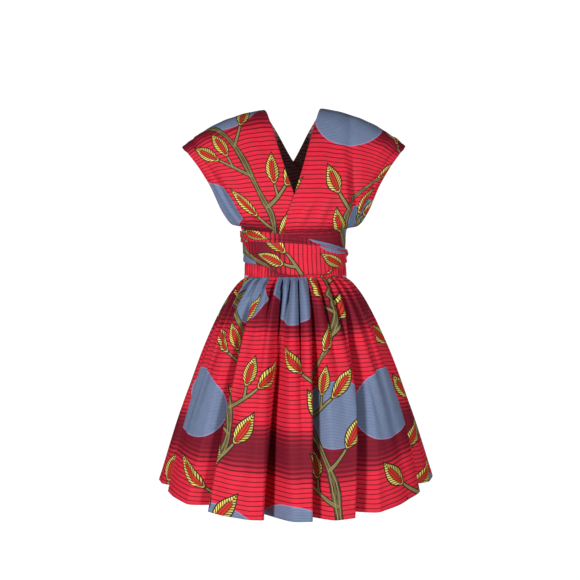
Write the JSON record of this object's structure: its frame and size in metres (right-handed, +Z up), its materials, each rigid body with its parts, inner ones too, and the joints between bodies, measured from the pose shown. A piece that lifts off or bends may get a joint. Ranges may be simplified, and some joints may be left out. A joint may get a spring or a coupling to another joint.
{
  "type": "wrap dress",
  "caption": "Knee-length wrap dress in wax-print cotton, worn shape: V neck, cap sleeves, sashes wound round the waist, gathered full skirt.",
  "frame": {"origin": "midway between the two shoulder crests, where the wearer's shoulders hold the dress up", "axes": "+Z up, front of the dress towards -Y, +X towards the wearer's left"},
  "size_m": [0.6548, 0.5579, 0.9302],
  "materials": {
    "print_cloth": "wax-printed cotton, soft sheen"
  },
  "bodies": {
    "root": {"skirt_front": "print_cloth", "skirt_back": "print_cloth", "waistband": "print_cloth", "sash_right": "print_cloth", "sash_left": "print_cloth", "wrap_upper": "print_cloth", "wrap_lower": "print_cloth", "tie_knot": "print_cloth", "tie_end_left": "print_cloth", "tie_end_right": "print_cloth"}
  },
  "joints": []
}
